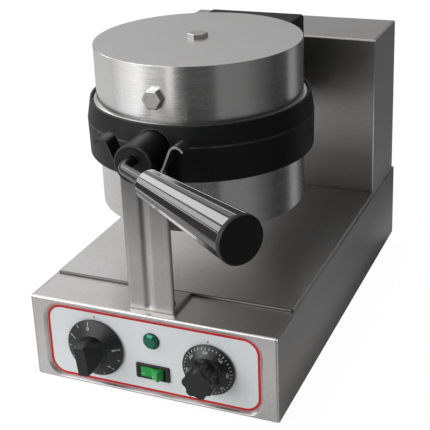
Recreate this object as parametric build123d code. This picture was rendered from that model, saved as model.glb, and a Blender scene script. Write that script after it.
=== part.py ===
from build123d import *
import math
import os

# Rotary belgian waffle maker, in millimetres.
# X runs to the right, Y from the control panel to the back, Z up from the table.

# Body of the machine
base_width = 250.0
base_depth = 426.0
base_height = 87.0
foot_height = 10.0
sheet = 1.5
bend = 2.0
seam = 0.4
screw_radius = 1.6
tower_front = 334.0
tower_height = 181.0
tower_inset = 2.5

# Baking iron, which turns end over end on a level axis
iron_centre = 139.0
axis_height = 249.0
parting_height = 252.0
parting_gap = 0.15
ring_radius = 110.0
upper_ring_height = 19.5
upper_rim_radius = 106.5
lower_ring_height = 33.5
lower_rim_radius = 109.4
drum_radius = 100.0
drum_height = 52.0
drum_sheet = 1.0
bolt_across_flats = 17.0
bolt_head = 6.5
bolt_radius = 5.0
side_bolt_height = 41.5
pack_turn = -2.1

# Waffle plates
cavity_radius = 90.0
cavity_depth = 13.0
cavity_draft = 2.5
plate_radius = 98.6
plate_seat = 14.0
plate_back_radius = 94.0
plate_back = 22.0
plate_play = 0.3
stud_pitch = 18.0
stud_foot = 13.0
stud_draft = 13.0
stud_clearance = 3.0
stud_limit = 86.0
rib_width = 7.0

# Heating of one half
element_radius = 4.0
element_circle = 62.0
element_sweep = 320.0
clamp_radius = 84.0
clamp_thickness = 3.0
wool_radius = 77.0
wool_thickness = 27.0

# Hinge at the back of the iron
hinge_y = 278.0
hinge_height = 290.0
hinge_pin_radius = 6.0
running = 0.05
lug_face = 252.5
block_half_width = 53.5
block_back = 301.0
block_top = 311.0
block_bottom = 196.0
block_wall = 9.0
arm_half_width = 28.0
web_half_width = 12.5
barrel_radius = 12.0

# Shaft in the tower
shaft_radius = 12.5
shaft_bore = 8.0
shaft_end = 416.0
bearing_radius = 16.0
front_plate_y = 340.0
rear_plate_y = 396.0
plate_thickness = 4.0
stop_y = 362.0

# Boss, crank and grip at the front
boss_radius = 18.0
boss_front = -10.0
crank_height = axis_height + 4.2
crank_radius = 5.0
crank_corner = -28.6
crank_bend = 14.0
grip_turn = 34.1
grip_start = 45.0
grip_length = 131.4
grip_start_radius = 12.9
grip_end_radius = 19.7
grip_sides = 14
cap_thickness = 4.0

# Post and saddle that carry the boss
post_front = 8.0
post_half_width = 22.5
post_sheet = 3.0
post_foot_end = 48.0
groove_x = -2.0
groove_half = 4.6
groove_depth = 2.5
saddle_inner = 25.0
saddle_strip = 2.0
saddle_front = 1.0
saddle_back = 18.5
saddle_gap = 0.3
saddle_lean = 23.0
saddle_ridge = 11.5
lip_radius = 6.5
lip_turn = 130.0

# Control panel
recess_depth = 3.0
recess_half_width = 111.5
recess_low = 12.5
recess_high = 91.5
recess_corner = 15.0
recess_slope = 3.2
panel_sheet = 1.5
timer_x = -59.0
dial_x = 57.5
knob_height = 51.5
timer_skirt = 29.4
dial_skirt = 25.8
skirt_edge = 2.4
knob_proud = 27.0
bar_lean = 7.2
wheel_radius = 15.0
wheel_lobes = 7
spindle_radius = 3.0
lamp_height = 69.0
lamp_radius = 7.4
switch_height = 35.8
switch_width = 34.6
switch_tall = 15.6
key_radius = 12.9
key_pivot = 5.5
key_tilt = 17.0

# Drip tray
tray_front = 48.5
tray_back = 333.4
tray_half_width = 123.0
tray_sheet = 1.1
tray_hem = 9.0
tray_lift = 0.3

# Cable gland at the back
gland_x = -80.0
gland_height = 38.0
gland_bore = 4.2

base_top = foot_height + base_height
tower_top = base_top + tower_height
half_width = base_width / 2
tower_half_width = half_width - tower_inset
drum_top = parting_height + upper_ring_height + drum_height
drum_bottom = parting_height - lower_ring_height - drum_height
panel_face = recess_depth
panel_back = base_depth - sheet


def block(x0, x1, y0, y1, z0, z1):
    """A box between two opposite corners."""
    middle = Pos((x0 + x1) / 2, (y0 + y1) / 2, (z0 + z1) / 2)
    return middle * Box(x1 - x0, y1 - y0, z1 - z0)


def rod_x(radius, x0, x1, y, z):
    return Pos((x0 + x1) / 2, y, z) * Rot(0, 90, 0) * Cylinder(radius, x1 - x0)


def rod_y(radius, y0, y1, x, z):
    return Pos(x, (y0 + y1) / 2, z) * Rot(90, 0, 0) * Cylinder(radius, y1 - y0)


def rod_z(radius, z0, z1, x, y):
    return Pos(x, y, (z0 + z1) / 2) * Cylinder(radius, z1 - z0)


def turned_z(outline):
    """A turned piece on the Z axis, from an outline of radius and height."""
    return revolve(make_face(Plane.XZ * Polyline(*outline, close=True)), Axis.Z)


def turned_y(outline, x, z):
    """A turned piece on a line along Y, from an outline of radius and Y."""
    return Pos(x, 0, z) * revolve(make_face(Polyline(*outline, close=True)), Axis.Y)


def plate_yz(face, x0, x1):
    """A profile in Y and Z, extruded from x0 to x1."""
    return Pos(x0, 0, 0) * extrude(Plane.YZ * face, x1 - x0)


def rectangle_between(a0, a1, b0, b1):
    return Pos((a0 + a1) / 2, (b0 + b1) / 2) * Rectangle(a1 - a0, b1 - b0)


def hex_bolt(across_flats, head, shank_radius, shank):
    """A hexagon bolt with its head on Z = 0 and its shank pointing down."""
    top_chamfer = head * 0.18
    hexagon = RegularPolygon(across_flats / 2, 6, major_radius=False)
    corner = across_flats / 2 / math.cos(math.radians(30))
    crown = [(0, 0), (corner, 0), (corner, head - top_chamfer), (across_flats / 2 - 0.4, head), (0, head)]
    return (extrude(hexagon, head) & turned_z(crown)) + rod_z(shank_radius, -shank, 0, 0, 0)


def pan_screw(head_radius, head, shank_radius, shank):
    """A screw with a domed round head on Z = 0 and its shank pointing down."""
    crown = [(0, 0), (head_radius, 0), (head_radius, head * 0.35), (head_radius * 0.6, head), (0, head)]
    slot = block(-head_radius, head_radius, -0.5, 0.5, head * 0.55, head * 1.1)
    return turned_z(crown) - slot + rod_z(shank_radius, -shank, 0, 0, 0)


# Turns a bolt that points down so that its head faces the back or the front.
head_to_back = Rot(-90, 0, 0)
head_to_front = Rot(90, 0, 0)


def group(pieces):
    return Compound([solid for piece in pieces for solid in piece.solids()])


# Base housing

def bent_profile(front, low, top, lip):
    """The profile in Y and Z of a sheet bent to a front wall, a top and, if lip is not 0, a bottom edge."""
    mid = sheet / 2
    points = [(front + mid, low), (front + mid, top - mid), (panel_back, top - mid)]
    if lip:
        points = [(front + lip, low + mid), (front + mid, low + mid)] + points[1:]
    return trace(FilletPolyline(*points, radius=bend - mid), sheet)


def recess_outline(inset, y):
    """The rounded outline of the panel recess, drawn inset on a plane of constant Y."""
    width = 2 * (recess_half_width - inset)
    height = recess_high - recess_low - 2 * inset
    middle = Location((0, y, (recess_low + recess_high) / 2))
    return middle * (Rot(90, 0, 0) * RectangleRounded(width, height, recess_corner - inset))


def base_cover():
    x_half = half_width - sheet
    body = plate_yz(bent_profile(0, foot_height, base_top, 9), -x_half, x_half)
    body -= block(-30, 30, 352, 388, base_top - 3, base_top + 1)
    for x, y in post_screw_places:
        body -= rod_z(2.5, base_top - 3, base_top + 1, x, y)
    border = recess_outline(-2.0, 0)
    frame = extrude(border, recess_depth, dir=(0, 1, 0))
    frame = frame & block(-x_half, x_half, sheet, recess_depth, foot_height + sheet, base_top - sheet)
    mouth = loft([recess_outline(0, 0), recess_outline(recess_slope, recess_depth)])
    return body + frame - mouth


def base_side(sign):
    outline = rectangle_between(seam, panel_back, foot_height + seam, base_top - seam)
    outline = fillet(outline.vertices().group_by(Axis.X)[0], bend - 0.4)
    panel = plate_yz(outline, half_width - sheet, half_width)
    low, high = foot_height + 14, base_top - 8
    panel += block(half_width - 17, half_width - sheet, panel_back - sheet, panel_back, low, high)
    panel -= rear_screw_holes()
    return panel if sign > 0 else mirror(panel, Plane.YZ)


def base_pan():
    edge = half_width - sheet - 0.5
    pan = block(-edge, edge, 5, panel_back, foot_height + sheet, foot_height + 2 * sheet)
    rims = block(-edge, edge, 5, panel_back, foot_height + sheet, foot_height + 12)
    rims -= block(-edge + sheet, edge - sheet, 0, base_depth, foot_height, foot_height + 20)
    pan += rims
    for side in (-1, 1):
        for step in range(6):
            y = 150 + 26 * step
            slot = Pos(side * 55, y, foot_height + 2) * extrude(SlotOverall(60, 6), 6, both=True)
            pan -= slot
    for x, y in foot_places:
        pan -= rod_z(3.0, foot_height, foot_height + 6, x, y)
    return pan


def tower_cover():
    x_half = tower_half_width - sheet
    body = plate_yz(bent_profile(tower_front, base_top, tower_top, 0), -x_half, x_half)
    return body - rod_y(bearing_radius, tower_front - 1, tower_front + 5, 0, axis_height)


def tower_side(sign):
    outline = rectangle_between(tower_front + seam, panel_back, base_top, tower_top - seam)
    outline = fillet(outline.vertices().sort_by_distance((tower_front, tower_top))[0], bend - 0.4)
    wide = tower_half_width
    panel = plate_yz(outline, wide - sheet, wide)
    panel += block(wide - 17, wide - sheet, panel_back - sheet, panel_back, base_top + 6, tower_top - 6)
    panel -= rear_screw_holes()
    return panel if sign > 0 else mirror(panel, Plane.YZ)


def rear_screw_holes():
    holes = [rod_y(screw_radius, base_depth - 12, base_depth + 1, x, z) for x, z in rear_screw_places]
    return holes[0].fuse(*holes[1:])


def rear_panel():
    """One flat sheet that closes the base and the tower at the back."""
    wide, narrow = half_width - seam, tower_half_width - seam
    low = rectangle_between(-wide, wide, foot_height + seam, base_top - seam)
    high = rectangle_between(-narrow, narrow, base_top - 2, tower_top - seam)
    low = fillet(low.vertices().group_by(Axis.Y)[0], 1.5)
    high = fillet(high.vertices().group_by(Axis.Y)[-1], 1.5)
    outline = low + high
    panel = Pos(0, base_depth, 0) * extrude(Plane.XZ * outline, sheet)
    louvre = SlotOverall(46, 4)
    for side in (-1, 1):
        for step in range(7):
            slot = extrude(Plane.XZ * louvre, 5, both=True)
            panel -= Pos(side * 60, base_depth, 185 + 11 * step) * slot
    panel -= rod_y(8.0, base_depth - 5, base_depth + 5, gland_x, gland_height)
    return panel - rear_screw_holes()


rear_screw_places = [(x, z) for z in (32.0, 84.0) for x in (-115.0, 115.0)]
rear_screw_places += [(x, z) for z in (110.0, 268.0) for x in (-113.0, 113.0)]


def rear_screws():
    screw = head_to_back * pan_screw(4.0, 2.4, screw_radius, 8)
    return group(Pos(x, base_depth, z) * screw for x, z in rear_screw_places)


# Feet

foot_inset = 30.0
foot_places = [(sx * 95.0, y) for sx in (-1, 1) for y in (foot_inset, base_depth - foot_inset)]
foot_screw_head = 2.6


def rubber_feet():
    step = foot_height + sheet
    outline = [(2.6, step), (14, step), (14, step - 3), (11.5, 0), (6, 0), (6, 5), (2.6, 5)]
    foot = fillet(turned_z(outline).edges().sort_by(Axis.Z)[0], 0.6)
    return group(Pos(x, y, 0) * foot for x, y in foot_places)


def foot_screws():
    screw = Rot(180, 0, 0) * pan_screw(4.6, foot_screw_head, 2.5, 12)
    return group(Pos(x, y, 5) * screw for x, y in foot_places)


# Control panel and what it carries

def control_panel():
    panel = extrude(recess_outline(0.8, panel_face), panel_sheet, dir=(0, 1, 0))
    for x in (timer_x, dial_x):
        panel -= rod_y(5.0, 0, 10, x, knob_height)
    panel -= rod_y(6.0, 0, 10, 0, lamp_height)
    x, z = switch_width / 2 - 2, switch_tall / 2 - 1.5
    return panel - block(-x, x, 0, 10, switch_height - z, switch_height + z)


def dial_body(x, depth, half):
    """A switch body behind the panel, with the threaded bush that clamps it there."""
    back = panel_face + panel_sheet
    body = block(x - half, x + half, back + 3, back + 3 + depth, knob_height - half, knob_height + half)
    body += rod_y(4.9, 0.6, back + 4, x, knob_height)
    body += rod_y(8.0, back, back + 3.5, x, knob_height)
    return body - rod_y(spindle_radius + running, 0, back + 3 + depth / 2, x, knob_height)


def timer_body():
    bell = rod_y(21, 45, 62, timer_x, knob_height)
    return dial_body(timer_x, 38, 23) + bell


def thermostat_body():
    body = dial_body(dial_x, 26, 19)
    back = panel_face + panel_sheet + 29
    body += rod_y(11, back - 1, back + 8, dial_x, knob_height)
    return body + rod_y(2, back, back + 22, dial_x, knob_height)


def spindle(x):
    """The spindle that a knob is pushed on, with its flat, and the cam on its inner end."""
    rod = rod_y(spindle_radius, -16, 20, x, knob_height)
    flat = block(x - 5, x + 5, -17, -4, knob_height + 2.0, knob_height + 5)
    return rod - flat


def knob_skirt(x, skirt_radius):
    back = panel_face - 0.8
    outline = [
        (spindle_radius, back - 9), (spindle_radius + 6, back - 5), (spindle_radius + 6, back),
        (skirt_radius - 1, back), (skirt_radius, back - 0.8), (skirt_radius, back - skirt_edge + 0.5),
        (skirt_radius - 1.2, back - skirt_edge), (15.5, back - 7.5), (14.5, back - 11),
        (spindle_radius, back - 11),
    ]
    return turned_y(outline, x, knob_height)


def spindle_socket(x):
    return spindle(x) & block(x - 9, x + 9, -16, 3, knob_height - 9, knob_height + 9)


def timer_knob():
    """Skirt and hub with a tapered bar across, which the fingers turn."""
    hub = Location((0, -6, 0)) * (Rot(90, 0, 0) * RectangleRounded(28, 31, 13.6))
    nose = Location((0, -knob_proud, 0)) * (Rot(90, 0, 0) * RectangleRounded(11, 29, 1.4))
    bar = Pos(timer_x, 0, knob_height) * Rot(0, -bar_lean, 0) * loft([hub, nose])
    return knob_skirt(timer_x, timer_skirt) + bar - spindle_socket(timer_x)


def temperature_knob():
    """Skirt with a lobed hand wheel in front."""
    lobes = Circle(wheel_radius)
    for step in range(wheel_lobes):
        lobes -= Rot(0, 0, 360 / wheel_lobes * step) * Pos(wheel_radius + 4.0, 0) * Circle(6.0)
    lobes = fillet(lobes.vertices(), 1.4)
    wheel = Location((0, 1 - knob_proud, 0)) * (Rot(90, 0, 0) * lobes)
    wheel = extrude(wheel, knob_proud - 8, dir=(0, 1, 0))
    wheel = chamfer(wheel.faces().sort_by(Axis.Y)[0].edges(), 0.8)
    return knob_skirt(dial_x, dial_skirt) + Pos(dial_x, 0, knob_height) * wheel - spindle_socket(dial_x)


def lamp_body():
    barrel = [
        (4.6, 3), (8.4, 3), (8.4, 2.2), (lamp_radius + 0.2, 1.4), (lamp_radius - 0.4, 1.4),
        (5.2, 2.4), (5.2, 3),
    ]
    rim = turned_y(barrel, 0, lamp_height)
    return rim + rod_y(5.9, 2.9, 32, 0, lamp_height) - rod_y(5.2, 2, 12, 0, lamp_height)


def lamp_lens():
    face = panel_face - 0.6
    stem = 5.1
    dome = Pos(0, 0, lamp_height) * (Location((0, 9.0, 0)) * Sphere(11.0))
    dome = dome & rod_y(lamp_radius - 0.5, -5, face - 1.1, 0, lamp_height)
    return dome + rod_y(stem, face - 1.2, 12, 0, lamp_height)


def switch_housing():
    half_x, half_z = switch_width / 2, switch_tall / 2
    bezel = Pos(0, 1, switch_height) * (Rot(90, 0, 0) * RectangleRounded(switch_width, switch_tall, 1.4))
    bezel = extrude(bezel, panel_face - 1, dir=(0, 1, 0))
    bezel = chamfer(bezel.faces().sort_by(Axis.Y)[0].edges(), 0.6)
    low, high = switch_height - half_z + 1.7, switch_height + half_z - 1.7
    body = block(-half_x + 2.2, half_x - 2.2, panel_face, 30, low, high)
    well = block(-13.2, 13.2, 0, 20, switch_height - 5.4, switch_height + 5.4)
    pins = rod_z(1.2 + running, switch_height - 6.4, switch_height + 6.4, 0, key_pivot)
    return bezel + body - well - pins


def rocker_key():
    """The rocker, lying with its left half pressed in. It turns on two small pins."""
    wedge = make_face(Polyline(
        (-10.1, -2.5), (0, 0.8), (10.1, -2.5), (11.4, 5.5), (0, 12), (-11.4, 5.5), close=True))
    rocker = wedge & Pos(0, key_pivot) * Circle(key_radius)
    key = Pos(0, 0, switch_height - 5.1) * extrude(rocker, 10.2)
    key = key + rod_z(1.2, switch_height - 6.2, switch_height + 6.2, 0, key_pivot)
    return Pos(0, key_pivot, 0) * Rot(0, 0, -key_tilt) * Pos(0, -key_pivot, 0) * key


def terminal_block():
    body = block(-102, -52, 360, 384, foot_height + 2 * sheet, foot_height + 2 * sheet + 20)
    for step in range(4):
        body -= rod_z(3.0, 25, 40, -96 + 12.5 * step, 372)
    return body


def cable_gland():
    outline = [
        (gland_bore, base_depth - 12), (7.9, base_depth - 12), (7.9, base_depth),
        (11, base_depth), (11, base_depth + 4), (9.5, base_depth + 5), (7.4, base_depth + 15),
        (6.4, base_depth + 16), (gland_bore, base_depth + 16),
    ]
    return turned_y(outline, gland_x, gland_height)


def gland_nut():
    hexagon = Location((gland_x, panel_back - 5, gland_height)) * (Rot(90, 0, 0) * RegularPolygon(12, 6))
    return extrude(hexagon, 5, dir=(0, 1, 0)) - rod_y(7.9, 400, 440, gland_x, gland_height)


# Post, saddle and tray

post_screw_places = [(-13.0, 22.0), (13.0, 22.0), (0.0, 40.0)]


def saddle_centre():
    """Height of the saddle's round bottom: the boss lies in it with a small gap below."""
    return axis_height - boss_radius - saddle_gap + saddle_inner


def support_post():
    """An upright sheet with a pressed groove, a foot bent back and a cradle cut for the saddle."""
    top = axis_height - 1.0
    y0, y1 = post_front, post_front + post_sheet
    left, right = groove_x - groove_half, groove_x + groove_half
    outline = Polyline(
        (-post_half_width, y0), (left, y0), (groove_x, y0 + groove_depth), (right, y0),
        (post_half_width, y0), (post_half_width, y1), (right, y1),
        (groove_x, y1 + groove_depth), (left, y1), (-post_half_width, y1), close=True)
    sheet_face = make_face(outline)
    bends = [v for v in sheet_face.vertices() if abs(v.X - groove_x) < groove_half + 1]
    upright = Pos(0, 0, base_top) * extrude(fillet(bends, 4.0), top - base_top)
    foot = block(-post_half_width, post_half_width, y0, post_foot_end - 0.6, base_top, base_top + post_sheet)
    for x, y in post_screw_places:
        foot -= rod_z(2.6, base_top - 1, base_top + 5, x, y)
    cradle = rod_y(saddle_inner + saddle_strip, 0, 30, 0, saddle_centre())
    return upright + foot - cradle


def saddle():
    """A strip bent to a U under the boss, with both ends leaning out and rolled over."""
    centre = saddle_centre()
    middle = saddle_inner + saddle_strip / 2
    end = 90.0 - saddle_lean
    foot = Vector(middle * math.sin(math.radians(end)), centre - middle * math.cos(math.radians(end)))
    way = Vector(math.cos(math.radians(end)), math.sin(math.radians(end)))
    rise = axis_height + saddle_ridge - foot.Y
    ridge = foot + way * (rise / way.Y)
    half_bottom = CenterArc((0, centre), middle, -90, end)
    side = Line((foot.X, foot.Y), (ridge.X, ridge.Y))
    roll_centre = ridge + Vector(math.sin(math.radians(end)), -math.cos(math.radians(end))) * lip_radius
    lip = CenterArc((roll_centre.X, roll_centre.Y), lip_radius, 90 + end, -lip_turn)
    right = Wire([half_bottom.edge(), side.edge(), lip.edge()])
    strip = offset(right, saddle_strip / 2, side=Side.BOTH, closed=True)
    half = extrude(Plane.XZ * make_face(strip), -(saddle_back - saddle_front))
    half = Pos(0, saddle_front, 0) * half
    return half + mirror(half, Plane.YZ)


def post_screws():
    screw = pan_screw(4.8, 2.8, 2.5, 9)
    return group(Pos(x, y, base_top + post_sheet) * screw for x, y in post_screw_places)


def drip_tray():
    """A flat sheet with its four edges folded under."""
    low = base_top + tray_lift
    top = low + 2 * tray_sheet
    tray = block(-tray_half_width, tray_half_width, tray_front, tray_back, low, top)
    inner = tray_half_width - tray_hem
    tray -= block(-inner, inner, tray_front + tray_hem, tray_back - tray_hem, low - 1, low + tray_sheet)
    corners = tray.edges().filter_by(Axis.Z).sort_by_distance((0, 190, low))[-4:]
    tray = fillet(corners, 2.5)
    return fillet(tray.faces().sort_by(Axis.Z)[-1].edges(), 0.9)


# Baking iron: each half is drawn with its parting face up from Z = 0, as the upper half lies

def ring_casting(height, rim_radius):
    """The black casting round a waffle plate: a tapered wall, a ledge for the drum and a thin rim."""
    rim_inner = rim_radius - 2.2
    ledge = height - 3.0
    outline = [
        (plate_radius + plate_play, parting_gap), (ring_radius, parting_gap), (rim_radius, height),
        (rim_inner, height), (rim_inner, ledge), (plate_back_radius + plate_play, ledge),
        (plate_back_radius + plate_play, plate_seat), (plate_radius + plate_play, plate_seat),
    ]
    ring = turned_z(outline)
    return fillet(ring.edges().filter_by(GeomType.CIRCLE).group_by(Axis.Z)[-1], 0.7)


def rear_lug(low, high, half, ledge):
    """The flat seat at the back of a ring, where the hinge bolts on."""
    lug = block(-half, half, 96, lug_face - iron_centre, low, high)
    lug = fillet(lug.edges().filter_by(Axis.Z).sort_by(Axis.Y)[-2:], 4)
    lug -= rod_z(drum_radius + 4.4, ledge, high + 1, 0, 0)
    return lug - rod_z(plate_radius + 2, low - 1, high + 1, 0, 0)


def stud_places():
    steps = [(i + 0.5) * stud_pitch + rib_width * 0.5 for i in range(5)]
    reach = stud_foot / 2
    places = []
    for x in steps:
        for y in steps:
            if math.hypot(x + reach, y + reach) < stud_limit:
                places += [(x, y), (-x, y), (x, -y), (-x, -y)]
    return places


def waffle_plate():
    """A cast plate: a round pocket with tapered studs and a cross of dividing ribs."""
    outline = [
        (0, cavity_depth), (cavity_radius - cavity_draft, cavity_depth), (cavity_radius, parting_gap),
        (plate_radius, parting_gap), (plate_radius, plate_seat), (plate_back_radius, plate_seat),
        (plate_back_radius, plate_back), (11, plate_back), (11, plate_back + 5.8), (0, plate_back + 5.8),
    ]
    plate = turned_z(outline)
    height = cavity_depth - stud_clearance
    studs = [Pos(x, y) * Rectangle(stud_foot, stud_foot) for x, y in stud_places()]
    studs = extrude(Sketch() + studs, height, taper=stud_draft)
    reach = cavity_radius - cavity_draft - 0.2
    cross = Rectangle(2 * reach, rib_width) + Rectangle(rib_width, 2 * reach)
    ribs = extrude(cross, height, taper=8)
    raised = Pos(0, 0, cavity_depth) * Rot(180, 0, 0) * (studs + ribs)
    return plate + raised - rod_z(bolt_radius, 16.5, plate_back + 8, 0, 0)


def heating_element():
    """A tubular element: an open ring with both cold ends standing up."""
    height = plate_back + element_radius
    start = 90 + (360 - element_sweep) / 2
    section = Plane.XZ * Pos(element_circle, height) * Circle(element_radius)
    element = Rot(0, 0, start) * revolve(section, Axis.Z, element_sweep)
    for angle in (start, start + element_sweep):
        x = element_circle * math.cos(math.radians(angle))
        y = element_circle * math.sin(math.radians(angle))
        element += Pos(x, y, height) * Sphere(element_radius)
        element += rod_z(element_radius, height, height + 22, x, y)
    return element


def element_ends(radius, low, high):
    """The room that the element's two ends take."""
    start = 90 + (360 - element_sweep) / 2
    ends = []
    for angle in (start, start + element_sweep):
        x = element_circle * math.cos(math.radians(angle))
        y = element_circle * math.sin(math.radians(angle))
        ends.append(rod_z(radius, low, high, x, y))
    return ends[0] + ends[1]


def clamp_plate():
    """A disc that presses the element on the plate, with a bent tab for the side bolt."""
    low = plate_back + 2 * element_radius
    high = low + clamp_thickness
    disc = rod_z(clamp_radius, low, high, 0, 0)
    tab = block(-14, 14, -88, -85, low, side_bolt_height + 12)
    web = block(-14, 14, -88, -78, low, high)
    plate = disc + tab + web
    plate -= rod_y(bolt_radius, -95, -80, 0, side_bolt_height)
    plate -= rod_z(bolt_radius + 0.4, low - 1, high + 1, 0, 0)
    return plate - element_ends(element_radius + 1.2, low - 1, high + 1)


def insulation():
    low = plate_back + 2 * element_radius + clamp_thickness
    wool = rod_z(wool_radius, low, low + wool_thickness, 0, 0) - rod_z(6.2, low - 1, low + 40, 0, 0)
    return wool - element_ends(element_radius + 1.2, low - 1, low + 60)


def drum(height):
    """The bright cover: a pressed drum with a turned-out flange that lies on the ring's ledge."""
    low = height - 3.0
    top = height + drum_height
    inner = drum_radius - drum_sheet
    outline = [
        (inner, low), (drum_radius + 3.2, low), (drum_radius + 3.2, low + drum_sheet),
        (drum_radius, low + drum_sheet), (drum_radius, top), (bolt_radius + 0.3, top),
        (bolt_radius + 0.3, top - drum_sheet), (inner, top - drum_sheet),
    ]
    cover = turned_z(outline)
    rim = cover.edges().filter_by(GeomType.CIRCLE).group_by(Axis.Z)[-1].sort_by(SortBy.RADIUS)[-1]
    cover = fillet(rim, drum_sheet * 1.4)
    return cover - rod_y(bolt_radius + 0.3, -drum_radius - 5, -drum_radius + 8, 0, side_bolt_height)


def drum_bolts(height):
    top = height + drum_height
    centre = Pos(0, 0, top) * hex_bolt(bolt_across_flats, bolt_head, bolt_radius, top - 17)
    washer = rod_y(9.5, -drum_radius - 0.4, -drum_radius + 0.9, 0, side_bolt_height)
    washer -= rod_z(drum_radius, 0, 90, 0, 0)
    side = Pos(0, -drum_radius - 0.4, side_bolt_height) * head_to_front * hex_bolt(
        bolt_across_flats, bolt_head, bolt_radius, 20)
    return group([centre, side + washer])


def place_upper(piece):
    return Pos(0, iron_centre, parting_height) * piece


def place_lower(piece):
    return Pos(0, iron_centre, parting_height) * mirror(piece, Plane.XY)


def upper_ring():
    """The upper casting, with the journal boss in front and the hinge seat at the back."""
    ring = ring_casting(upper_ring_height, upper_rim_radius)
    drop = axis_height - parting_height
    boss = rod_y(boss_radius, boss_front - iron_centre, -60, 0, drop)
    boss = chamfer(boss.edges().filter_by(GeomType.CIRCLE).sort_by(Axis.Y)[0], 0.9)
    boss -= rod_z(plate_radius + 3, parting_gap, 40, 0, 0)
    boss -= rod_z(ring_radius + 0.9, -40, parting_gap, 0, 0)
    ring = ring + boss + rear_lug(1.5, 18.0, 30, upper_ring_height - 3)
    for x in arm_bolt_places:
        ring -= rod_y(3.0, 102, 120, x, arm_bolt_height - parting_height)
    ring -= rod_y(crank_radius, boss_front - iron_centre - 1, boss_front - iron_centre + 30, 0,
                  crank_height - parting_height)
    return place_upper(ring)


def lower_ring():
    """The lower casting, with the hinge seat at the back."""
    ring = ring_casting(lower_ring_height, lower_rim_radius)
    ring += rear_lug(3.0, 32.0, 40, lower_ring_height - 3)
    for x in block_bolt_places:
        ring -= rod_y(4.0, 102, 120, x, parting_height - block_bolt_height)
    return place_lower(ring)


def thermostat_bulb():
    """The sensing bulb of the thermostat, held between plate and clamp."""
    return place_lower(rod_x(3.4, -38, 38, -28, plate_back + 3.4))


# Hinge and shaft

arm_bolt_places = (-20.5, 20.5)
arm_bolt_height = 262.0
block_bolt_places = (-26.0, 26.0)
block_bolt_height = 235.0


def hinge_block():
    """The black casting on the shaft: two cheeks and a back wall round the lid's arm."""
    w = block_half_width
    inner = w - block_wall
    step = parting_height - 1.5
    body = block(-w, w, lug_face, block_back, block_bottom, block_top)
    body = fillet(body.edges().filter_by(Axis.X).sort_by(Axis.Z)[-2:], 3)
    body = fillet(body.edges().filter_by(Axis.Z).sort_by(Axis.Y)[-2:], 4)
    body = fillet(body.edges().filter_by(Axis.X).sort_by(Axis.Z)[:2], 8)
    body -= block(-w - 1, w + 1, lug_face - 1, 256, step, block_top + 1)
    body -= block(-inner, inner, 260.5, block_back - 8, block_bottom + 6, block_top - 5)
    body -= block(-inner, inner, lug_face - 1, 262, step, block_top - 5)
    body -= block(-arm_half_width - 1.5, arm_half_width + 1.5, lug_face - 1, 262, 280, block_top + 1)
    body -= block(-web_half_width - 1.5, web_half_width + 1.5, lug_face - 1, hinge_y - 1, 280, block_top + 1)
    body += rod_y(29, block_back, block_back + 2, 0, axis_height)
    body -= rod_x(hinge_pin_radius, -60, 60, hinge_y, hinge_height)
    body -= rod_y(shaft_bore, 290, 310, 0, axis_height)
    for x in block_bolt_places:
        body -= rod_y(4.0, 250, 262, x, block_bolt_height)
    for x, z in shaft_screw_places:
        body -= rod_y(2.5, 290, 310, x, z)
    return body


def block_bolts():
    bolt = head_to_back * hex_bolt(13, 5.3, 4.0, 18)
    return group(Pos(x, 260.5, block_bolt_height) * bolt for x in block_bolt_places)


def hinge_pin():
    w = block_half_width
    pin = rod_x(hinge_pin_radius, -w, w, hinge_y, hinge_height)
    for side in (-1, 1):
        x0, x1 = sorted((side * w, side * (w + 3)))
        cap = rod_x(9, x0, x1, hinge_y, hinge_height)
        outer = cap.edges().filter_by(GeomType.CIRCLE).sort_by(Axis.X)[-1 if side > 0 else 0]
        pin += chamfer(outer, 1.2)
    return pin


def lid_arm():
    """The arm of the lid: a flange on the upper ring, a web and a barrel on the pin."""
    back = lug_face + 6
    barrel = Pos(hinge_y, hinge_height) * Circle(barrel_radius)
    flange = plate_yz(rectangle_between(lug_face, back, 254, 270), -arm_half_width, arm_half_width)
    flange = fillet(flange.edges().filter_by(Axis.Y), 3)
    foot = rectangle_between(lug_face + 2, back, 255, 269)
    web = make_hull(barrel.edges() + foot.edges())
    web_part = plate_yz(web, -web_half_width, web_half_width)
    knuckle = plate_yz(barrel, -41.6, 41.6)
    arm = flange + web_part + knuckle
    arm -= rod_x(hinge_pin_radius + running, -60, 60, hinge_y, hinge_height)
    for x in arm_bolt_places:
        arm -= rod_y(3.0, 250, 262, x, arm_bolt_height)
    return arm


def arm_bolts():
    bolt = head_to_back * hex_bolt(10, 4.0, 3.0, 14)
    return group(Pos(x, lug_face + 6, arm_bolt_height) * bolt for x in arm_bolt_places)


shaft_screw_places = [(sx * 14.5, axis_height + sz * 14.5) for sx in (-1, 1) for sz in (-1, 1)]


def hollow_shaft():
    """The tube that the iron turns on. Its wires run through the bore."""
    front = block_back + 2
    outline = [
        (shaft_bore, front), (26, front), (26, front + 6), (bearing_radius, front + 8),
        (bearing_radius, tower_front - 3.8), (shaft_radius, tower_front - 3.8),
        (shaft_radius, shaft_end), (shaft_bore, shaft_end),
    ]
    shaft = turned_y(outline, 0, axis_height)
    for x, z in shaft_screw_places:
        shaft -= rod_y(2.5, front - 1, front + 9, x, z)
        shaft -= rod_y(4.6, front + 5, front + 9, x, z)
    return shaft


def shaft_screws():
    screw = head_to_back * pan_screw(4.4, 2.6, 2.5, 12)
    return group(Pos(x, block_back + 7, z) * screw for x, z in shaft_screw_places)


def bearing(front, flange, back):
    """A flanged plain bush, with its flange towards the front."""
    outline = [
        (shaft_radius + running, front), (21, front), (21, front + flange), (bearing_radius, front + flange),
        (bearing_radius, back), (shaft_radius + running, back),
    ]
    return turned_y(outline, 0, axis_height)


def front_bearing():
    return bearing(tower_front - 3.5, 3.5, front_plate_y + plate_thickness + 3)


def rear_bearing():
    return bearing(rear_plate_y - 3.5, 3.5, rear_plate_y + plate_thickness + 3)


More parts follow.
